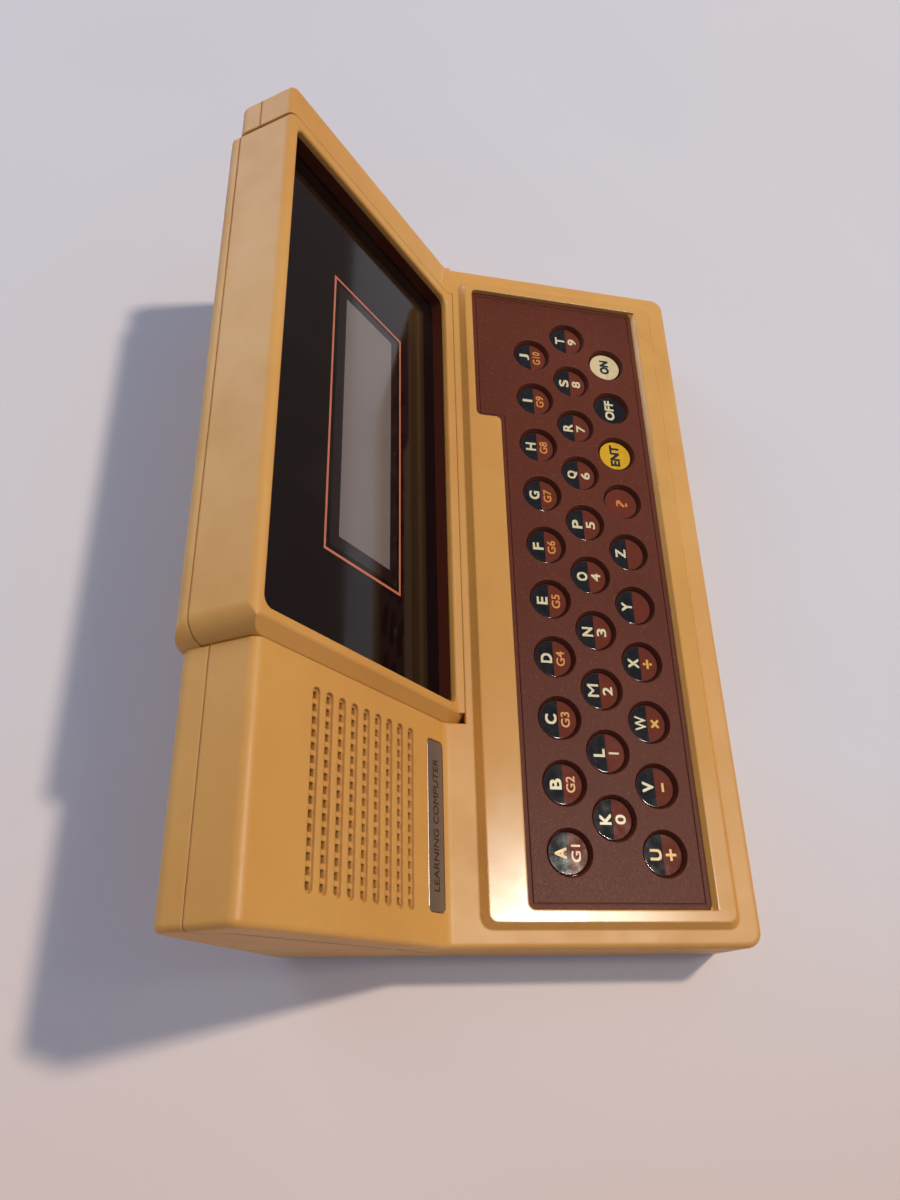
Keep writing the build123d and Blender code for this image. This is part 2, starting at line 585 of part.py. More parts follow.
with BuildPart(K) as rubber_sheet:
    with BuildSketch(K.offset(-9.4)):
        with Locations((91.0, -13.2)):
            RectangleRounded(204.0, 49.0, 2.0)
    extrude(amount=0.8)
    with Locations(*[(x, y, -7.95) for x, y in KEY_SPOTS]):
        Cone(bottom_radius=4.8, top_radius=3.2, height=1.5)
    with BuildSketch(K.offset(-9.6)):
        with Locations(*KB_SCREWS):
            Circle(1.4)
    extrude(amount=2, mode=Mode.SUBTRACT)

with BuildPart() as keyboard_pcb:
    with BuildSketch(K.offset(-11.0)):
        with Locations((91.0, -13.2)):
            Rectangle(206.0, 51.0)
        with Locations(*KB_SCREWS):
            Circle(1.4, mode=Mode.SUBTRACT)
    extrude(amount=1.6)

with BuildPart() as keyboard_screws:
    with BuildSketch(K.offset(-12.5)):
        with Locations(*KB_SCREWS):
            Circle(2.2)
    extrude(amount=1.5)
    with BuildSketch(K.offset(-11.5)):
        with Locations(*KB_SCREWS):
            Circle(1.08)
    extrude(amount=7.0)
    with BuildSketch(K.offset(-12.5)):
        with Locations(*KB_SCREWS):
            Rectangle(2.8, 0.6)
            Rectangle(0.6, 2.8)
    extrude(amount=0.6, mode=Mode.SUBTRACT)

# ---------------------------------------------------------------------------
# 7. Display
# ---------------------------------------------------------------------------
with BuildPart() as screen_window:
    with BuildSketch(D.offset(-WALL - 0.1)):
        with Locations(((OPEN_L + OPEN_R) / 2, 40.5)):
            RectangleRounded(152.6, 82.4, 3.0)
    extrude(amount=-5.7)
    with BuildSketch(D):
        with Locations(((OPEN_L + OPEN_R) / 2, OPEN_T / 2 + 0.3)):
            RectangleRounded(OPEN_R - OPEN_L, OPEN_T - 0.6, 2.6)
    extrude(amount=-WINDOW_DEPTH, mode=Mode.SUBTRACT)

LCD_X, LCD_S = (LCD_L + LCD_R) / 2, (LCD_B + LCD_T) / 2
with BuildPart() as lcd_frame:
    with BuildSketch(D.offset(-8.2)):
        with Locations((LCD_X, LCD_S)):
            RectangleRounded(98.0, 38.0, 2.0)
            Rectangle(LCD_R - LCD_L, LCD_T - LCD_B, mode=Mode.SUBTRACT)
    extrude(amount=-6.2)
    with BuildSketch(D.offset(-9.1)):
        with Locations((LCD_X, LCD_S)):
            Rectangle(91.0, 31.4)
    extrude(amount=-6, mode=Mode.SUBTRACT)
    with BuildSketch(D.offset(-16)):
        with Locations((LCD_X, LCD_S)):
            with GridLocations(94.6, 34.6, 2, 2):
                Circle(0.85)
    extrude(amount=6, mode=Mode.SUBTRACT)

with BuildPart() as lcd_glass:
    with BuildSketch(D.offset(-9.2)):
        with Locations((LCD_X, LCD_S)):
            Rectangle(90.6, 31.0)
    extrude(amount=-2.2)

with BuildPart() as lcd_reflector:
    with BuildSketch(D.offset(-11.45)):
        with Locations((LCD_X, LCD_S)):
            Rectangle(88.0, 24.4)
    extrude(amount=-0.3)

with BuildPart() as zebra_strips:
    with BuildSketch(D.offset(-11.45)):
        with Locations((LCD_X, LCD_S)):
            with GridLocations(1, 27.8, 1, 2):
                Rectangle(86.0, 2.4)
    extrude(amount=-3.0)

with BuildPart() as main_pcb:
    with BuildSketch(D.offset(-14.5)):
        with Locations((115.0, 47.0)):
            RectangleRounded(138.0, 58.0, 1.0)
        with Locations((LCD_X, LCD_S)):
            with GridLocations(94.6, 34.6, 2, 2):
                Circle(1.2, mode=Mode.SUBTRACT)
    extrude(amount=-1.6)

with BuildPart() as pcb_screws:
    with BuildSketch(D.offset(-16.15)):
        with Locations((LCD_X, LCD_S)):
            with GridLocations(94.6, 34.6, 2, 2):
                Circle(1.9)
    extrude(amount=-1.3)
    with BuildSketch(D.offset(-16.5)):
        with Locations((LCD_X, LCD_S)):
            with GridLocations(94.6, 34.6, 2, 2):
                Circle(0.8)
    extrude(amount=5.5)

with BuildPart() as processor:
    with BuildSketch(D.offset(-16.6)):
        with Locations((100.0, 40.0)):
            Rectangle(52.0, 13.6)
    extrude(amount=-3.8)
    chamfer(processor.edges().filter_by(Axis.X), 0.5)
    with BuildSketch(D.offset(-16.2)):
        with Locations((100.0, 40.0)):
            with GridLocations(2.54, 15.24, 20, 2):
                Rectangle(0.8, 0.5)
    extrude(amount=-2.2)
    with BuildSketch(D.offset(-17.9)):
        with Locations((100.0, 40.0)):
            with GridLocations(2.54, 1, 20, 1):
                Rectangle(0.8, 15.7)
    extrude(amount=-0.5)

with BuildPart() as memory_chip:
    with BuildSketch(D.offset(-16.6)):
        with Locations((146.0, 67.6)):
            Rectangle(36.0, 13.6)
    extrude(amount=-3.8)
    chamfer(memory_chip.edges().filter_by(Axis.X), 0.5)
    with BuildSketch(D.offset(-16.2)):
        with Locations((146.0, 67.6)):
            with GridLocations(2.54, 15.24, 14, 2):
                Rectangle(0.8, 0.5)
    extrude(amount=-2.2)
    with BuildSketch(D.offset(-17.9)):
        with Locations((146.0, 67.6)):
            with GridLocations(2.54, 1, 14, 1):
                Rectangle(0.8, 15.7)
    extrude(amount=-0.5)

with BuildPart() as capacitors:
    with BuildSketch(D.offset(-16.2)):
        with Locations((60.0, 66.0), (72.0, 66.0), (84.0, 66.0)):
            Circle(3.1)
    extrude(amount=-9.0)
    fillet(capacitors.edges().filter_by(GeomType.CIRCLE).group_by(Axis.Z)[0], 0.5)

with BuildPart() as crystal:
    with BuildSketch(D.offset(-16.2)):
        with Locations((140.0, 40.0)):
            SlotOverall(10.6, 4.4)
    extrude(amount=-6.0)

with BuildPart() as ribbon_cable:
    with BuildSketch(S.offset(164.0)):
        with BuildLine():
            Polyline((12.5, -11.2), (14.5, -11.2), (26.0, -16.0), (43.0, -16.0), (52.5, -2.0), up(17.5, 14.0), up(22.0, 14.0),
                     up(22.0, 14.4), up(17.3, 14.4), (53.0, -2.2), (43.2, -16.4), (25.9, -16.4), (14.4, -11.6), (12.5, -11.6),
                     close=True)
        make_face()
    extrude(amount=18.0)

# ---------------------------------------------------------------------------
# 8. Speaker
# ---------------------------------------------------------------------------
SP = Plane(origin=D.offset(-STEP - WALL - 0.2).from_local_coords(Vector(SPK_X, SPK_S, 0)), x_dir=(1, 0, 0), z_dir=(0, s, -c))
SPX = Plane(origin=SP.origin, x_dir=(1, 0, 0), z_dir=(0, c, s))      # y runs into the case
SP_AXIS = Axis(SP.origin, SP.z_dir)


with BuildPart() as speaker_frame:
    with BuildSketch(SPX):
        with BuildLine():
            Polyline((20.6, 0), (SPK_R, 0), (SPK_R, 1.6), (22.6, 1.6), (13.0, 9.5), (9.0, 9.5), (9.0, 8.7), (12.6, 8.7),
                     (21.6, 1.1), (20.6, 1.1), close=True)
        make_face()
    revolve(axis=SP_AXIS)

with BuildPart() as speaker_cone:
    with BuildSketch(SPX):
        with BuildLine():
            Polyline((0, 3.0), (3.0, 3.4), (5.2, 5.4), (6.2, 5.6), (18.6, 1.4), (19.6, 0.7), (20.4, 0.7), (20.4, 1.0),
                     (19.7, 1.0), (18.8, 1.8), (6.4, 6.1), (6.4, 7.6), (6.0, 7.6), (6.0, 6.2), (5.0, 5.9), (2.9, 3.8), (0, 3.4),
                     close=True)
        make_face()
    revolve(axis=SP_AXIS)

with BuildPart() as speaker_magnet:
    with BuildSketch(SPX):
        with BuildLine():
            Polyline((0, 9.6), (13.4, 9.6), (13.4, 10.8), (12.6, 10.8), (12.6, 16.2), (13.4, 16.2), (13.4, 17.4), (0, 17.4), close=True)
        make_face()
    revolve(axis=SP_AXIS)

with BuildPart() as speaker_clamps:
    with BuildSketch(D.offset(-STEP - WALL - 0.2)):
        with Locations((SPK_X, SPK_S)):
            with PolarLocations(25.6, 3, start_angle=30):
                with Locations((1.6, 0)):
                    Rectangle(2.4, 7.0)
    extrude(amount=-2.9)
    with BuildSketch(D.offset(-STEP - WALL - 1.95)):
        with Locations((SPK_X, SPK_S)):
            with PolarLocations(25.6, 3, start_angle=30):
                Rectangle(5.6, 7.0)
    extrude(amount=-1.15)

# ---------------------------------------------------------------------------
# 9. Nameplate, screws and feet
# ---------------------------------------------------------------------------
with BuildPart() as nameplate:
    with BuildSketch(D.offset(-STEP - 0.68)):
        with Locations((SPK_X, 8.1)):
            RectangleRounded(44.5, 7.6, 1.5)
    extrude(amount=0.6)
    chamfer(nameplate.faces().sort_by(Axis.Z)[-1].edges(), 0.15)

with BuildPart() as shell_screws:
    with BuildSketch(K.offset(Z_BASE + 0.1)):
        with Locations(*BASE_SCREWS):
            Circle(2.6)
    extrude(amount=1.35)
    with BuildSketch(K.offset(Z_BASE + 1.4)):
        with Locations(*BASE_SCREWS):
            Circle(1.2)
    extrude(amount=17.2)
    with BuildSketch(K.offset(Z_BASE)):
        with Locations(*BASE_SCREWS):
            Rectangle(3.4, 0.7)
            Rectangle(0.7, 3.4)
    extrude(amount=0.8, mode=Mode.SUBTRACT)

with BuildPart() as back_screws:
    for (x, dist), deep, head in ((LEFT_SCREW, 25.05, 2.6), (HOOD_SCREWS[0], 25.05, 2.6), (HOOD_SCREWS[1], 25.05, 2.6), (END_SCREW, 26.05, 2.1)):
        with BuildSketch(D.offset(-deep)):
            with Locations((x, dist)):
                Circle(head)
        extrude(amount=-1.6)
        with BuildSketch(D.offset(-deep - 0.4)):
            with Locations((x, dist)):
                Circle(1.2)
        extrude(amount=12.4 if x < -10 else 13.0 if x < 195 else 17.5)
        with BuildSketch(D.offset(-deep - 1.0)):
            with Locations((x, dist)):
                Rectangle(3.2, 0.7)
                Rectangle(0.7, 3.2)
        extrude(amount=-2, mode=Mode.SUBTRACT)

with BuildPart() as rubber_feet:
    with BuildSketch(K.offset(-PANEL_Z)):
        with Locations((-12.0, -38.0), (193.0, -38.0), (-8.0, 64.0), (189.0, 64.0)):
            Circle(5.5)
    extrude(amount=FOOT)
    fillet(rubber_feet.edges().filter_by(GeomType.CIRCLE).group_by(Axis.Z)[0], 0.5)
    with BuildSketch(K.offset(-PANEL_Z + 0.6)):
        with Locations((-12.0, -38.0), (193.0, -38.0), (-8.0, 64.0), (189.0, 64.0)):
            Circle(1.5)
    extrude(amount=FOOT + 1.6)

for node, name in (
    (front_shell, "front_shell"), (display_hood, "display_hood"), (rear_shell, "rear_shell"), (battery_door, "battery_door"),
    (aa_cells, "aa_cells"), (battery_contacts, "battery_contacts"), (keyboard_panel, "keyboard_panel"),
    (rubber_sheet, "rubber_sheet"), (keyboard_pcb, "keyboard_pcb"), (keyboard_screws, "keyboard_screws"),
    (screen_window, "screen_window"), (lcd_frame, "lcd_frame"), (lcd_glass, "lcd_glass"), (lcd_reflector, "lcd_reflector"),
    (zebra_strips, "zebra_strips"), (main_pcb, "main_pcb"), (pcb_screws, "pcb_screws"), (processor, "processor"),
    (memory_chip, "memory_chip"), (capacitors, "capacitors"), (crystal, "crystal"), (ribbon_cable, "ribbon_cable"),
    (speaker_frame, "speaker_frame"), (speaker_cone, "speaker_cone"), (speaker_magnet, "speaker_magnet"),
    (speaker_clamps, "speaker_clamps"), (nameplate, "nameplate"), (shell_screws, "shell_screws"), (back_screws, "back_screws"),
    (rubber_feet, "rubber_feet"),
):
    finish(node.part, name)

for name, x, y in KEYS:
    finish(Location((A[0] + x, A[1] + y, A[2])) * key_cap.part, "key_" + name)
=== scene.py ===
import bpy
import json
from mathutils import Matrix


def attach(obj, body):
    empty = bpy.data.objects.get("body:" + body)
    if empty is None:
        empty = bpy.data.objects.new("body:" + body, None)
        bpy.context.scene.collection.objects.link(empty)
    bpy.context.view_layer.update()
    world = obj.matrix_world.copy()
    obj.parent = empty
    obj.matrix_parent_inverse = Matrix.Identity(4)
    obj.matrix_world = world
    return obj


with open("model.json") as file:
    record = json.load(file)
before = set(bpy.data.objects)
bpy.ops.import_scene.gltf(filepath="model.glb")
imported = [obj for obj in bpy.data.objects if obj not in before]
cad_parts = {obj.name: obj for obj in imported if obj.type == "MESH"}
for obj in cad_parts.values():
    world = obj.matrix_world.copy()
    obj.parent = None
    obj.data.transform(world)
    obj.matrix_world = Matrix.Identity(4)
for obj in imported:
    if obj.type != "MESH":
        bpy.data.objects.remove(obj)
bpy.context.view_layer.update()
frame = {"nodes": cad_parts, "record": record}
import bpy, bmesh, json, math, os
from mathutils import Matrix, Vector

nodes = frame["nodes"]
sc = bpy.context.scene

# the row frame's place of key A's centre, and the display's plane, in metres
A = Vector((-0.09125, -0.0252575, 0.0247))
SLOPE = math.radians(46.0)
D0 = A + Vector((0, 0.0298, -0.0005))
DU = Vector((0, math.cos(SLOPE), math.sin(SLOPE)))
DN = Vector((0, -math.sin(SLOPE), math.cos(SLOPE)))


def disp(x, s, depth=0.0):
    """A point of the display section: x across, s up the slope, depth into the case, in millimetres."""
    return D0 + Vector((x, 0, 0)) / 1000 + DU * (s / 1000) - DN * (depth / 1000)


# ---------------------------------------------------------------------------
# materials
# ---------------------------------------------------------------------------
def lin(r, g, b):
    f = lambda v: v / 255 / 12.92 if v / 255 <= 0.04045 else ((v / 255 + 0.055) / 1.055) ** 2.4
    return (f(r), f(g), f(b), 1.0)


class Mat:
    def __init__(self, name):
        self.m = bpy.data.materials.new(name)
        self.m.use_nodes = True
        self.t = self.m.node_tree
        self.b = self.t.nodes["Principled BSDF"]
        self.co = self.t.nodes.new("ShaderNodeTexCoord")

    def n(self, kind, **props):
        node = self.t.nodes.new(kind)
        for k, v in props.items():
            setattr(node, k, v)
        return node

    def link(self, a, b):
        self.t.links.new(a, b)

    def noise(self, scale, detail=4.0, rough=0.55, coord=None, dist=0.0):
        n = self.n("ShaderNodeTexNoise")
        n.inputs["Scale"].default_value = scale
        n.inputs["Detail"].default_value = detail
        n.inputs["Roughness"].default_value = rough
        n.inputs["Distortion"].default_value = dist
        self.link(coord or self.co.outputs["Object"], n.inputs["Vector"])
        return n.outputs["Fac"]

    def ramp(self, fac, stops):
        r = self.n("ShaderNodeValToRGB")
        e = r.color_ramp.elements
        while len(e) < len(stops):
            e.new(0.5)
        for el, (p, c) in zip(e, stops):
            el.position = p
            el.color = c if len(c) == 4 else (*c, 1)
        self.link(fac, r.inputs["Fac"])
        return r.outputs["Color"]

    def mix(self, fac, a, b, mode="MIX"):
        m = self.n("ShaderNodeMix", data_type="RGBA", blend_type=mode)
        for sock, v in ((m.inputs[0], fac), (m.inputs[6], a), (m.inputs[7], b)):
            if hasattr(v, "is_linked"):
                self.link(v, sock)
            else:
                sock.default_value = v
        return m.outputs[2]

    def range(self, v, a0, a1, b0, b1):
        r = self.n("ShaderNodeMapRange")
        r.inputs[1].default_value, r.inputs[2].default_value = a0, a1
        r.inputs[3].default_value, r.inputs[4].default_value = b0, b1
        self.link(v, r.inputs[0])
        return r.outputs[0]

    def math(self, op, a, b=None):
        m = self.n("ShaderNodeMath", operation=op)
        for i, v in enumerate((a, b)):
            if v is None:
                continue
            if hasattr(v, "is_linked"):
                self.link(v, m.inputs[i])
            else:
                m.inputs[i].default_value = v
        return m.outputs[0]

    def bump(self, height, strength, dist, normal=None):
        b = self.n("ShaderNodeBump")
        b.inputs["Strength"].default_value = strength
        b.inputs["Distance"].default_value = dist
        self.link(height, b.inputs["Height"])
        if normal is not None:
            self.link(normal, b.inputs["Normal"])
        return b.outputs["Normal"]

    def soft_edges(self, radius):
        b = self.n("ShaderNodeBevel", samples=6)
        b.inputs["Radius"].default_value = radius
        return b.outputs["Normal"]

    def set(self, **kw):
        names = {"base": "Base Color", "rough": "Roughness", "metal": "Metallic", "normal": "Normal", "coat": "Coat Weight",
                 "coat_rough": "Coat Roughness", "spec": "Specular IOR Level", "trans": "Transmission Weight", "ior": "IOR",
                 "sss": "Subsurface Weight", "sss_scale": "Subsurface Scale", "sheen": "Sheen Weight"}
        for k, v in kw.items():
            s = self.b.inputs[names[k]]
            if hasattr(v, "is_linked"):
                self.link(v, s)
            else:
                s.default_value = v
        return self.m


def cream():
    m = Mat("case_cream")
    big = m.noise(9.0, 3, 0.6)
    mid = m.noise(60.0, 5, 0.6)
    fine = m.noise(1500.0, 3, 0.6)
    c = m.ramp(big, [(0.30, lin(211, 148, 68)), (0.55, lin(220, 162, 81)), (0.80, lin(225, 172, 95))])
    c = m.mix(m.range(mid, 0.45, 0.75, 0.0, 0.22), c, lin(188, 128, 60))
    # old dirt and small specks
    v = m.n("ShaderNodeTexVoronoi", feature="F1")
    v.inputs["Scale"].default_value = 120.0
    m.link(m.co.outputs["Object"], v.inputs["Vector"])
    speck = m.range(v.outputs["Distance"], 0.02, 0.06, 1.0, 0.0)
    gate = m.range(m.noise(21.0, 2), 0.60, 0.66, 0.0, 1.0)
    c = m.mix(m.math("MULTIPLY", m.math("MULTIPLY", speck, gate), 0.5), c, lin(120, 82, 44))
    sat = m.range(mid, 0.3, 0.7, 0.42, 0.54)
    shiny = m.range(mid, 0.3, 0.7, 0.19, 0.28)
    sep = m.n("ShaderNodeSeparateXYZ")
    m.link(m.co.outputs["Object"], sep.inputs[0])
    above = m.range(sep.outputs[2], 0.0252, 0.0257, 0.0, 1.0)
    below = m.range(sep.outputs[2], 0.0275, 0.0270, 0.0, 1.0)
    bed = m.math("MULTIPLY", above, below)
    r = m.math("ADD", m.math("MULTIPLY", shiny, bed), m.math("MULTIPLY", sat, m.math("SUBTRACT", 1.0, bed)))
    nrm = m.bump(fine, 0.10, 0.00004, m.soft_edges(0.0007))
    nrm = m.bump(m.noise(26.0, 2), 0.06, 0.0006, nrm)
    return m.set(base=c, rough=r, normal=nrm, spec=0.42, sss=0.06, sss_scale=0.004)


def brown():
    m = Mat("panel_brown")
    v = m.n("ShaderNodeTexVoronoi", feature="F1")
    v.inputs["Scale"].default_value = 2300.0
    m.link(m.co.outputs["Object"], v.inputs["Vector"])
    grain = v.outputs["Distance"]
    sep = m.n("ShaderNodeSeparateColor")
    m.link(v.outputs["Color"], sep.inputs[0])
    # painted glints: the brightest grain cells are lightened, standing in for the sparkle of the grain
    painted_glint_specks = m.range(sep.outputs[0], 0.90, 0.98, 0.0, 1.0)
    big = m.noise(18.0, 3)
    c = m.ramp(big, [(0.3, lin(92, 42, 27)), (0.7, lin(104, 50, 33))])
    c = m.mix(m.math("MULTIPLY", painted_glint_specks, 0.14), c, lin(170, 112, 84))
    r = m.range(m.noise(2600.0, 2), 0.3, 0.7, 0.40, 0.56)
    # painted highlight: a lighter line is painted along the edges, standing in for the thin rim highlights there
    geo = m.n("ShaderNodeNewGeometry")
    dot = m.n("ShaderNodeVectorMath", operation="DOT_PRODUCT")
    m.link(geo.outputs["Normal"], dot.inputs[0])
    m.link(m.soft_edges(0.00016), dot.inputs[1])
    painted_edge_highlight = m.range(dot.outputs["Value"], 0.99, 0.90, 0.0, 0.55)
    c = m.mix(painted_edge_highlight, c, lin(172, 116, 92))
    nrm = m.bump(grain, 0.30, 0.00007, m.soft_edges(0.00035))
    return m.set(base=c, rough=r, normal=nrm, spec=0.12)


def screen():
    m = Mat("screen_dark")
    geo = m.n("ShaderNodeNewGeometry")
    dot = m.n("ShaderNodeVectorMath", operation="DOT_PRODUCT")
    m.link(geo.outputs["Normal"], dot.inputs[0])
    dot.inputs[1].default_value = DN
    face = m.range(m.math("ABSOLUTE", dot.outputs["Value"]), 0.6, 0.9, 0.0, 1.0)
    c = m.mix(face, lin(84, 38, 24), lin(21, 12, 10))
    smear = m.noise(22.0, 4, 0.6, dist=1.2)
    c = m.mix(m.range(smear, 0.5, 0.8, 0.0, 0.05), c, lin(92, 74, 66))
    r = m.range(smear, 0.35, 0.75, 0.035, 0.11)
    nrm = m.bump(m.noise(7.0, 1, 0.4), 0.20, 0.0022)
    nrm = m.bump(m.noise(900.0, 2), 0.02, 0.00002, nrm)
    return m.set(base=c, rough=r, normal=nrm, spec=0.3)


def two_tone(name, upper, lower):
    m = Mat(name)
    sep = m.n("ShaderNodeSeparateXYZ")
    m.link(m.co.outputs["Generated"], sep.inputs[0])
    wob = m.range(m.noise(900.0, 2), 0, 1, -0.006, 0.006)
    y = m.math("ADD", sep.outputs[1], wob)
    side = m.range(y, 0.492, 0.502, 0.0, 1.0)
    top = m.range(sep.outputs[2], 0.955, 0.97, 0.0, 1.0)
    v = m.noise(420.0, 5, 0.65)
    up = m.mix(m.range(v, 0.4, 0.75, 0.0, 0.35), upper, lin(min(255, 62), 58, 52) if sum(upper[:3]) < 0.2 else lower)
    low = m.mix(m.range(v, 0.35, 0.7, 0.0, 0.4), lower, (lower[0] * 0.62, lower[1] * 0.58, lower[2] * 0.55, 1))
    dx = m.math("MULTIPLY", m.math("SUBTRACT", sep.outputs[0], 0.5), 14.0)
    dy = m.math("MULTIPLY", m.math("SUBTRACT", sep.outputs[1], 0.5), 14.0)
    rad = m.math("SQRT", m.math("ADD", m.math("MULTIPLY", dx, dx), m.math("MULTIPLY", dy, dy)))
    face = m.mix(m.range(rad, 5.42, 5.5, 0.0, 1.0), m.mix(side, low, up), lin(66, 32, 22))
    c = m.mix(top, lin(58, 28, 20), face)
    r = m.range(m.noise(260.0, 4), 0.35, 0.7, 0.07, 0.15)
    nrm = m.bump(m.noise(330.0, 3), 0.10, 0.00012)
    return m.set(base=c, rough=r, normal=nrm, spec=0.36)


def flat(name, col, rough=(0.35, 0.5), scale=200.0, vary=0.12, bump=(0.15, 0.00005), **kw):
    m = Mat(name)
    f = m.noise(scale, 4, 0.6)
    dark = (col[0] * 0.6, col[1] * 0.6, col[2] * 0.6, 1)
    c = m.mix(m.range(f, 0.35, 0.75, 0.0, vary * 2), col, dark)
    r = m.range(m.noise(scale * 0.35, 3), 0.3, 0.7, *rough)
    nrm = m.bump(m.noise(scale * 6, 2), *bump)
    return m.set(base=c, rough=r, normal=nrm, **kw)


def brushed(name, col, rough=(0.25, 0.42), scale=(40.0, 1600.0, 1600.0), metal=1.0):
    m = Mat(name)
    mp = m.n("ShaderNodeMapping")
    mp.inputs["Scale"].default_value = scale
    m.link(m.co.outputs["Object"], mp.inputs["Vector"])
    f = m.noise(1.0, 4, 0.6, coord=mp.outputs["Vector"])
    c = m.mix(m.range(f, 0.3, 0.7, 0.0, 0.35), col, (col[0] * 0.7, col[1] * 0.7, col[2] * 0.7, 1))
    r = m.range(f, 0.3, 0.7, *rough)
    nrm = m.bump(f, 0.08, 0.00003)
    return m.set(base=c, rough=r, metal=metal, normal=nrm)


CREAM = cream()
BLACK, BROWN = lin(18, 16, 15), lin(115, 48, 20)
MATS = {
    "case_cream": CREAM,
    "panel_brown": brown(),
    "screen_dark": screen(),
    "lcd_glass": flat("lcd_glass", lin(120, 110, 104), (0.06, 0.12), 60.0, 0.08, (0.05, 0.00002)),
    "inner_black": flat("inner_black", lin(30, 30, 31)),
    "foil": brushed("foil", lin(205, 205, 208)),
    "rubber_dark": flat("rubber_dark", lin(36, 36, 39), (0.6, 0.8), 500.0, 0.2, (0.4, 0.0001)),
    "rubber_grey": flat("rubber_grey", lin(182, 182, 176), (0.5, 0.7), 300.0, 0.1, (0.3, 0.0001)),
    "board": flat("board", lin(44, 104, 58), (0.25, 0.45), 90.0, 0.35, (0.2, 0.00008), coat=0.3),
    "screw_steel": brushed("screw_steel", lin(168, 168, 170), (0.28, 0.45), (600.0, 600.0, 60.0)),
    "chip_black": flat("chip_black", lin(30, 30, 32), (0.45, 0.6), 700.0, 0.2, (0.4, 0.00008)),
    "capacitor_blue": flat("capacitor_blue", lin(38, 70, 128), (0.2, 0.32), 160.0, 0.15),
    "crystal_can": brushed("crystal_can", lin(200, 200, 203), (0.12, 0.25)),
    "ribbon_grey": flat("ribbon_grey", lin(150, 155, 161), (0.4, 0.55), 260.0, 0.12),
    "speaker_steel": brushed("speaker_steel", lin(92, 94, 98), (0.35, 0.5), (300.0, 300.0, 300.0)),
    "speaker_paper": flat("speaker_paper", lin(44, 40, 36), (0.8, 0.95), 700.0, 0.4, (0.8, 0.0002)),
    "magnet_iron": flat("magnet_iron", lin(70, 70, 73), (0.5, 0.7), 300.0, 0.3, (0.4, 0.0001)),
    "plate_silver": brushed("plate_silver", lin(150, 142, 134), (0.30, 0.45), (30.0, 2500.0, 2500.0), 0.85),
    "cell_label": flat("cell_label", lin(196, 118, 44), (0.18, 0.3), 120.0, 0.15),
    "contact_brass": brushed("contact_brass", lin(206, 170, 96), (0.2, 0.35)),
    "key_two_tone": two_tone("key_two_tone", BLACK, BROWN),
    "key_yellow": two_tone("key_yellow", lin(228, 176, 28), lin(228, 176, 28)),
    "key_cream": two_tone("key_cream", lin(228, 208, 160), lin(228, 208, 160)),
    "key_black": two_tone("key_black", BLACK, BLACK),
    "key_brown": two_tone("key_brown", BROWN, BROWN),
}
INK_CREAM = flat("ink_cream", lin(232, 216, 168), (0.25, 0.4), 900.0, 0.12)
INK_PEACH = flat("ink_peach", lin(226, 128, 62), (0.25, 0.4), 900.0, 0.12)
INK_GOLD = flat("ink_gold", lin(226, 146, 58), (0.25, 0.4), 900.0, 0.12)
INK_YELLOW = flat("ink_yellow", lin(232, 172, 44), (0.25, 0.4), 900.0, 0.12)
INK_BLACK = flat("ink_black", lin(24, 24, 24), (0.25, 0.4), 900.0, 0.12)
INK_ORANGE = flat("ink_orange", lin(205, 118, 88), (0.12, 0.22), 300.0, 0.12)
SCREEN_SLATE = flat("screen_clear_area", lin(118, 108, 102), (0.07, 0.13), 40.0, 0.10, (0.03, 0.00002), spec=0.6, coat=0.3, coat_rough=0.06)
SCREEN_SHADE = flat("screen_shade", lin(30, 19, 17), (0.06, 0.11), 60.0, 0.15, (0.03, 0.00002), spec=0.6)

for part in frame["record"]["subparts"]:
    ob = nodes[part["node"]]
    ob.data.materials.clear()
    ob.data.materials.append(MATS[part["material_slot"]])

# ---------------------------------------------------------------------------
# key legends
# ---------------------------------------------------------------------------
PITCH = 19.05
ROWS = [(0.0, 0.0, list("abcdefghij")), (-13.9, PITCH / 2, list("klmnopqrst")),
        (-27.9, 0.0, list("uvwxyz") + ["question", "enter", "off", "on"])]


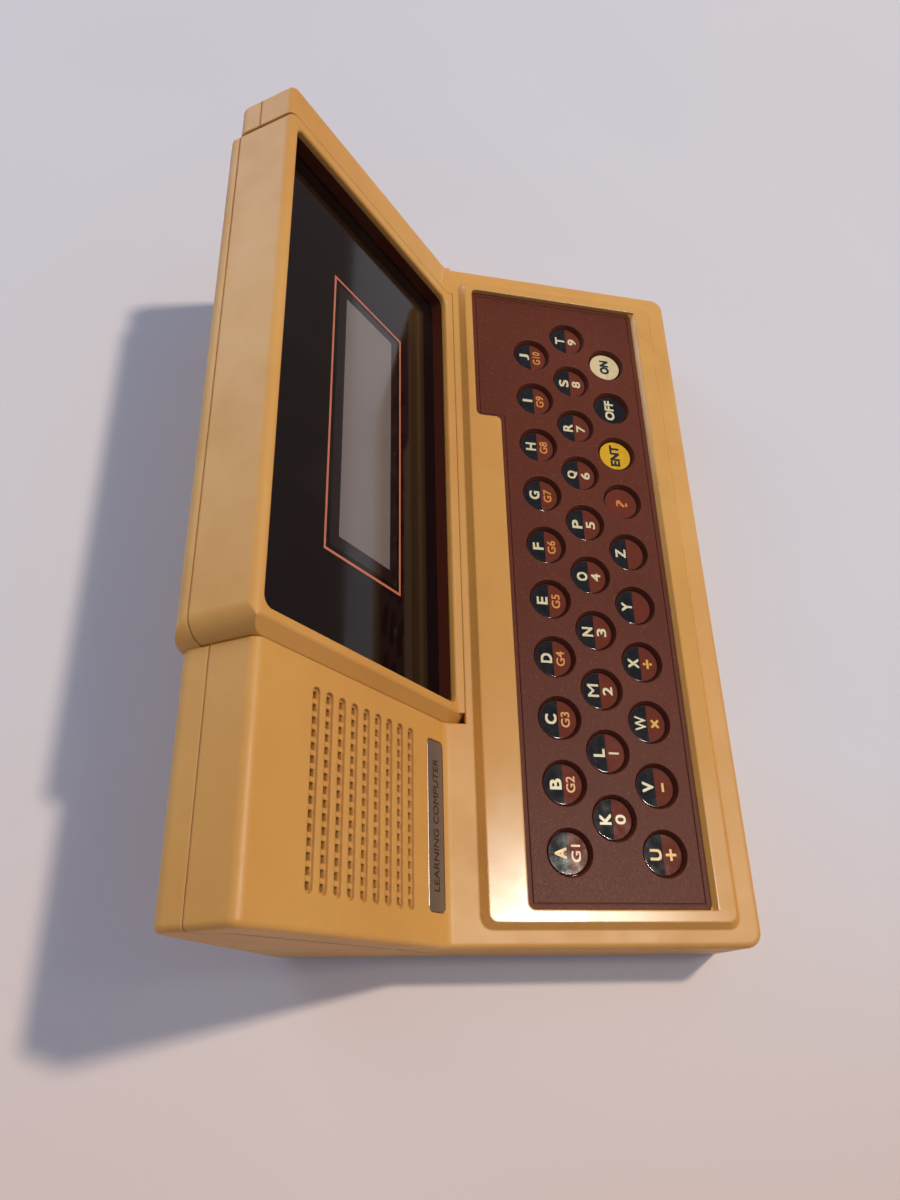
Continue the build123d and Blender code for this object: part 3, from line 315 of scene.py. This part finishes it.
def legend(name, text, origin, ux, uy, height, width, bold, material, body, thick=0.00003):
    """Flat lettering whose middle is at origin, reading along ux, with uy up; height and width in metres."""
    cu = bpy.data.curves.new(name, "FONT")
    cu.body = text
    cu.size = 1.0
    cu.fill_mode = "FRONT"
    cu.resolution_u = 6
    tmp = bpy.data.objects.new(name + "_src", cu)
    sc.collection.objects.link(tmp)
    bpy.context.view_layer.update()
    me = bpy.data.meshes.new_from_object(tmp.evaluated_get(bpy.context.evaluated_depsgraph_get()))
    bpy.data.objects.remove(tmp)
    bpy.data.curves.remove(cu)
    xs = [v.co.x for v in me.vertices]
    ys = [v.co.y for v in me.vertices]
    cx, cy = (min(xs) + max(xs)) / 2, (min(ys) + max(ys)) / 2
    d = bold * 0.7 * height    # strokes are widened by this much on each side
    k = (height - 2 * d) / (max(ys) - min(ys))
    kx = k if width is None else (width - 2 * d) / (max(xs) - min(xs))
    n = ux.cross(uy)
    for v in me.vertices:
        v.co = origin + ux * ((v.co.x - cx) * kx) + uy * ((v.co.y - cy) * k)
    bm = bmesh.new()
    bm.from_mesh(me)
    bmesh.ops.remove_doubles(bm, verts=bm.verts, dist=1e-7)
    base = bm.verts[:] + bm.edges[:] + bm.faces[:]
    for i, (sx, sy) in enumerate(((1, -1), (-1, 1), (-1, -1))):
        copy = [g for g in bmesh.ops.duplicate(bm, geom=base)["geom"] if isinstance(g, bmesh.types.BMVert)]
        bmesh.ops.translate(bm, verts=copy, vec=ux * (d * sx) + uy * (d * sy) + n * (4e-7 * (i + 1)))
    bmesh.ops.translate(bm, verts=[g for g in base if isinstance(g, bmesh.types.BMVert)], vec=ux * d + uy * d)
    res = bmesh.ops.extrude_face_region(bm, geom=bm.faces[:])
    top = [g for g in res["geom"] if isinstance(g, bmesh.types.BMVert)]
    bmesh.ops.translate(bm, verts=top, vec=n * thick)
    bmesh.ops.recalc_face_normals(bm, faces=bm.faces[:])
    bm.to_mesh(me)
    bm.free()
    me.materials.clear()
    me.materials.append(material)
    me.name = name
    ob = bpy.data.objects.new(name, me)
    sc.collection.objects.link(ob)
    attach(ob, body)
    return ob


X, Y = Vector((1, 0, 0)), Vector((0, 1, 0))
WIDE = set("MW")
for y0, shift, names in ROWS:
    for i, nm in enumerate(names):
        x0 = i * PITCH + shift
        top = A + Vector((x0, y0, -1.5 + 0.012)) / 1000
        body = "key_" + nm + "_body"
        up = lambda t, m, h=3.5, w=None, dy=2.15, b=0.055, tag="upper": legend(
            "legend_" + nm + "_" + tag, t, top + Vector((0, dy, 0)) / 1000, X, Y, h / 1000, None if w is None else w / 1000, b, m, body)
        if nm == "enter":
            up("ENT", INK_BLACK, 3.4, 8.4, 0.1, 0.08)
        elif nm == "off":
            up("OFF", INK_CREAM, 3.4, 8.2, 0.1, 0.065)
        elif nm == "on":
            up("ON", INK_BLACK, 3.4, 6.0, 0.1, 0.08)
        elif nm == "question":
            up("?", INK_PEACH, 4.0, 2.7, -0.3, 0.02)
        else:
            w = {"M": 4.0, "W": 4.4, "I": 1.0, "J": 2.4, "L": 2.4, "F": 2.5, "E": 2.6}.get(nm.upper(), 3.1)
            up(nm.upper(), INK_YELLOW if nm in "au" else INK_CREAM, 3.5, w, b=0.02 if nm in "mw" else 0.055)
            if y0 == 0.0:
                up("G" + str(i + 1), INK_GOLD, 2.7, 4.7 if i < 9 else 5.6, -2.25, 0.035, "lower")
            elif y0 > -20:
                up(str(i), INK_CREAM, 3.1, None if i == 1 else 2.7, -2.4, 0.03 if i == 1 else 0.045, "lower")
            elif nm == "u":
                up("+", INK_YELLOW, 3.2, 3.2, -2.4, 0.045, "lower")
            elif nm == "v":
                up("-", INK_YELLOW, 0.75, 2.6, -2.4, 0.03, "lower")
            elif nm == "w":
                up("×", INK_YELLOW, 2.7, 2.7, -2.4, 0.05, "lower")
            elif nm == "x":
                up("÷", INK_YELLOW, 3.0, 3.0, -2.4, 0.04, "lower")

legend("nameplate_words", "LEARNING COMPUTER", disp(6.4, 8.05, 3.1 + 0.075), X, DU, 0.0026, 0.0345, 0.012, INK_BLACK, "case")


# ---------------------------------------------------------------------------
# prints on the screen window
# ---------------------------------------------------------------------------
def plate(name, x0, x1, s0, s1, depth, material, hole=None, thick=0.03, r=0.0):
    """A thin print on the window, optionally a frame with a hole (inset by hole on each side)."""
    bm = bmesh.new()
    outer = [(x0, s0), (x1, s0), (x1, s1), (x0, s1)]
    def ring(pts, d):
        return [bm.verts.new(disp(x, s, d)) for x, s in pts]
    lo, hi = ring(outer, depth), ring(outer, depth - thick)
    if hole:
        inn = [(x0 + hole, s0 + hole), (x1 - hole, s0 + hole), (x1 - hole, s1 - hole), (x0 + hole, s1 - hole)]
        li, hi2 = ring(inn, depth), ring(inn, depth - thick)
        for i in range(4):
            j = (i + 1) % 4
            bm.faces.new((hi[i], hi[j], hi2[j], hi2[i]))
            bm.faces.new((lo[j], lo[i], li[i], li[j]))
            bm.faces.new((lo[i], lo[j], hi[j], hi[i]))
            bm.faces.new((li[j], li[i], hi2[i], hi2[j]))
    else:
        bm.faces.new(hi)
        bm.faces.new(lo[::-1])
        for i in range(4):
            j = (i + 1) % 4
            bm.faces.new((lo[i], lo[j], hi[j], hi[i]))
    bmesh.ops.recalc_face_normals(bm, faces=bm.faces[:])
    me = bpy.data.meshes.new(name)
    bm.to_mesh(me)
    bm.free()
    me.materials.append(material)
    ob = bpy.data.objects.new(name, me)
    sc.collection.objects.link(ob)
    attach(ob, "case")
    return ob


plate("screen_print_line", 68.2, 160.3, 20.6, 55.2, 5.99, INK_ORANGE, hole=0.8)
plate("screen_print_surround", 70.4, 158.2, 22.8, 53.0, 5.995, SCREEN_SHADE)
plate("screen_clear_area", 74.3, 155.6, 26.0, 49.2, 5.985, SCREEN_SLATE, thick=0.04)

# ---------------------------------------------------------------------------
# floor, light, camera
# ---------------------------------------------------------------------------
bm = bmesh.new()
bmesh.ops.create_grid(bm, x_segments=8, y_segments=8, size=1.0)
for v in bm.verts:
    v.co.x *= 1.6
    v.co.y = -0.34 + (v.co.y + 1.0) * 0.9
me = bpy.data.meshes.new("floor")
bm.to_mesh(me)
bm.free()
floor = bpy.data.objects.new("floor", me)
sc.collection.objects.link(floor)
fm = Mat("floor_pale")
fc = fm.ramp(fm.noise(3.0, 3), [(0.3, lin(214, 210, 213)), (0.7, lin(220, 216, 218))])
fs = fm.n("ShaderNodeSeparateXYZ")
fm.link(fm.co.outputs["Object"], fs.inputs[0])
# painted light: the floor is tinted warmer towards -X, standing in for the warm lamp light and the orange bounce off
# the case there
fc = fm.mix(fm.range(fs.outputs[0], -0.05, -0.22, 0.0, 0.9), fc, lin(224, 194, 176))
fm.set(base=fc, rough=0.55, normal=fm.bump(fm.noise(240.0, 3), 0.05, 0.0002), spec=0.35)
floor.data.materials.append(fm.m)


def area(name, loc, target, sx, sy, power, color):
    l = bpy.data.lights.new(name, "AREA")
    l.shape = "RECTANGLE"
    l.size, l.size_y = sx, sy
    l.energy = power
    l.color = color
    ob = bpy.data.objects.new(name, l)
    ob.location = loc
    ob.rotation_euler = (Vector(target) - Vector(loc)).to_track_quat("-Z", "Y").to_euler()
    sc.collection.objects.link(ob)
    return ob


key = area("key_light", (0.7145, -1.217, 2.646), (0, 0, 0), 0.20, 0.20, 55.0, (1.0, 0.87, 0.71))
key.visible_glossy = False
glare = area("glare_light", (-0.025, -0.44, 1.25), (-0.1, -0.02, 0.02), 0.13, 0.13, 14.0, (1.0, 0.97, 0.84))
glare.visible_diffuse = False
area("window_light", (1.25, 1.35, 0.42), (0, 0, 0.05), 1.3, 0.6, 12.0, (0.66, 0.80, 1.0))

w = bpy.data.worlds.new("studio")
sc.world = w
w.use_nodes = True
nt = w.node_tree
bg = nt.nodes["Background"]
tc = nt.nodes.new("ShaderNodeTexCoord")
sx = nt.nodes.new("ShaderNodeSeparateXYZ")
nt.links.new(tc.outputs["Generated"], sx.inputs[0])
up_part = nt.nodes.new("ShaderNodeMapRange")
up_part.inputs["From Min"].default_value = -0.10
up_part.inputs["From Max"].default_value = 0.45
nt.links.new(sx.outputs[2], up_part.inputs["Value"])
mx = nt.nodes.new("ShaderNodeMix")
mx.data_type = "RGBA"
nt.links.new(up_part.outputs["Result"], mx.inputs[0])
mx.inputs[6].default_value = (0.42, 0.34, 0.32, 1)
mx.inputs[7].default_value = (0.60, 0.72, 1.0, 1)
nt.links.new(mx.outputs[2], bg.inputs[0])
bg.inputs[1].default_value = 0.45

cam_d = bpy.data.cameras.new("camera")
cam = bpy.data.objects.new("camera", cam_d)
sc.collection.objects.link(cam)
R = Matrix(((-0.02280458, -0.97557773, 0.21846749), (-0.90334824, -0.07351075, -0.42256138), (0.42830118, -0.20698856, -0.87961005)))
M = R.transposed() @ Matrix(((1, 0, 0), (0, -1, 0), (0, 0, -1)))
M = M.to_4x4()
M.translation = Vector((-0.04270766, 0.08772337, 0.23814241)) + A
cam.matrix_world = M
cam_d.sensor_fit = "AUTO"
cam_d.sensor_width = 36.0
cam_d.lens = 906.100755690504 / 1200 * 36.0
cam_d.clip_start = 0.01
cam_d.clip_end = 20
sc.camera = cam
sc.view_settings.view_transform = "Standard"
